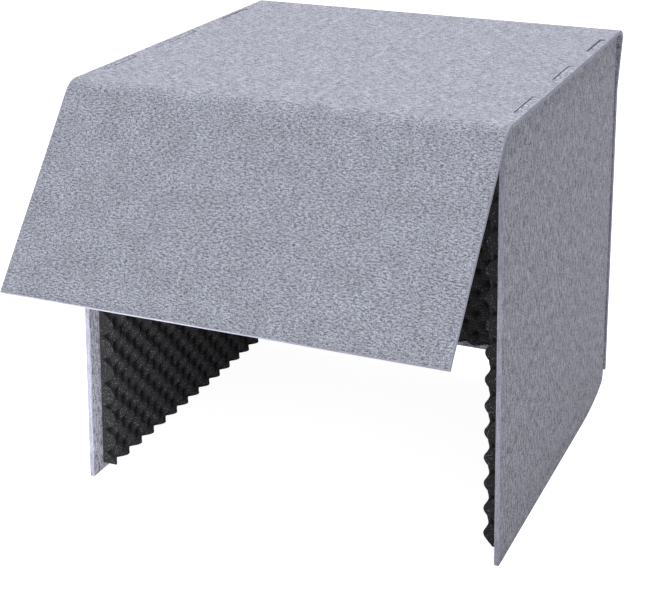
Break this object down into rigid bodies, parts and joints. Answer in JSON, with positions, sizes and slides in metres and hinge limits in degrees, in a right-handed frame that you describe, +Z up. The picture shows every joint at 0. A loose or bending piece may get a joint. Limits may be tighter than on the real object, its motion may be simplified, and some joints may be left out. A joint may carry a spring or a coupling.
{
  "type": "printer enclosure tent",
  "caption": "Free-standing felt box over a desktop 3D printer, lined with egg-crate foam, open below and in front under a front flap that lifts.",
  "frame": {"origin": "bottom centre of the whole object's box at rest, the lifted front flap included, on the surface that the side panels stand on", "axes": "+Z up, +X to the right of someone facing the open front, +Y from the front flap towards the back sheet"},
  "size_m": [0.8408, 1.0544, 0.8],
  "materials": {
    "felt": "heathered light grey needle-punched polyester felt board, matt",
    "foam": "charcoal open-cell egg-crate foam, matt",
    "tape": "white double-sided foam tape"
  },
  "bodies": {
    "shell": {"top_sheet": "felt", "back_sheet": "felt", "flap_fold": "felt", "left_side_panel": "felt", "right_side_panel": "felt", "left_foam": "foam", "right_foam": "foam", "back_foam": "foam", "top_foam": "foam", "left_foam_tape_1": "tape", "left_foam_tape_2": "tape", "left_foam_tape_3": "tape", "right_foam_tape_1": "tape", "right_foam_tape_2": "tape", "right_foam_tape_3": "tape", "back_foam_tape_1": "tape", "back_foam_tape_2": "tape", "back_foam_tape_3": "tape", "top_foam_tape_1": "tape", "top_foam_tape_2": "tape", "top_foam_tape_3": "tape"},
    "flap": {"front_flap": "felt"}
  },
  "joints": [
    {"name": "flap_hinge", "type": "hinge", "parent": "shell", "child": "flap", "pos_m": [0, -0.27326, 0.801], "axis": [-1, 0, 0], "range_deg": [-39.5, 230.5], "deforming": ["flap_fold"]}
  ]
}
